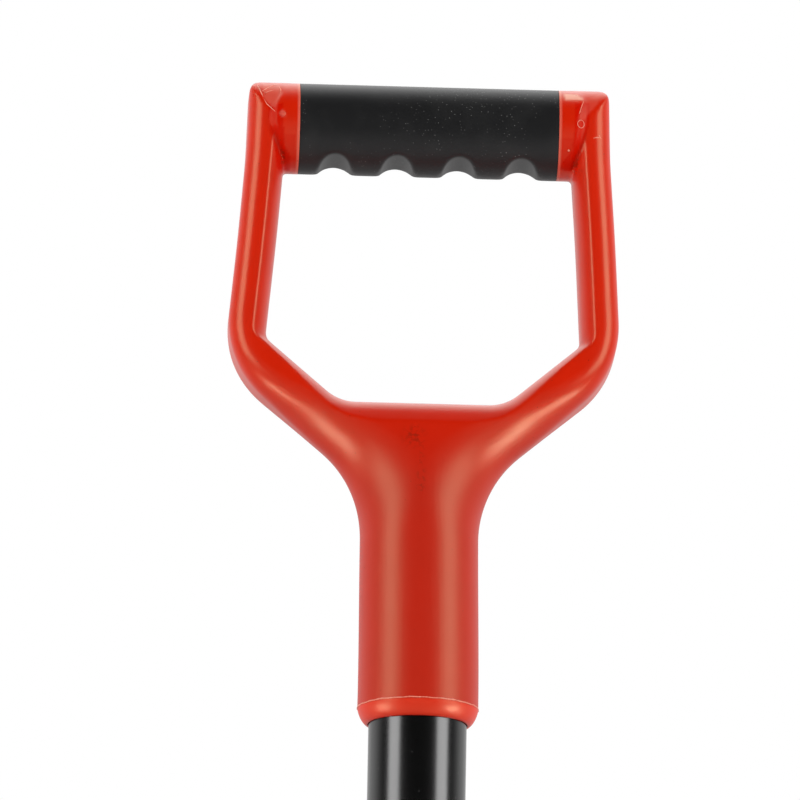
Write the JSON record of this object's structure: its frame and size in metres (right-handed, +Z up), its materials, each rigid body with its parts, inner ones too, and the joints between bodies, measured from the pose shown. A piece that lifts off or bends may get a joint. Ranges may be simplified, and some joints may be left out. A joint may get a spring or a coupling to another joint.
{
  "type": "digging spade",
  "caption": "All-steel digging spade with a pressed blade, foot treads, a round tube shaft and a moulded D grip with a soft sleeve.",
  "frame": {"origin": "middle of the cutting edge, at the bottom of the blade", "axes": "+Z up along the shaft, from the cutting edge to the grip; -Y is the front, the hollow side of the blade; X runs along the crossbar"},
  "size_m": [0.1902, 0.0454, 1.0437],
  "materials": {
    "orange_plastic": "satin orange-red moulded plastic",
    "black_rubber": "matt black soft moulding",
    "black_paint": "satin black powder coat on steel",
    "zinc_steel": "bright zinc plate"
  },
  "bodies": {
    "root": {"blade": "black_paint", "tread_left": "black_paint", "tread_right": "black_paint", "shaft_tube": "black_paint", "rivet_upper": "zinc_steel", "rivet_lower": "zinc_steel", "grip_frame": "orange_plastic", "grip_sleeve": "black_rubber", "grip_screw": "zinc_steel"}
  },
  "joints": []
}
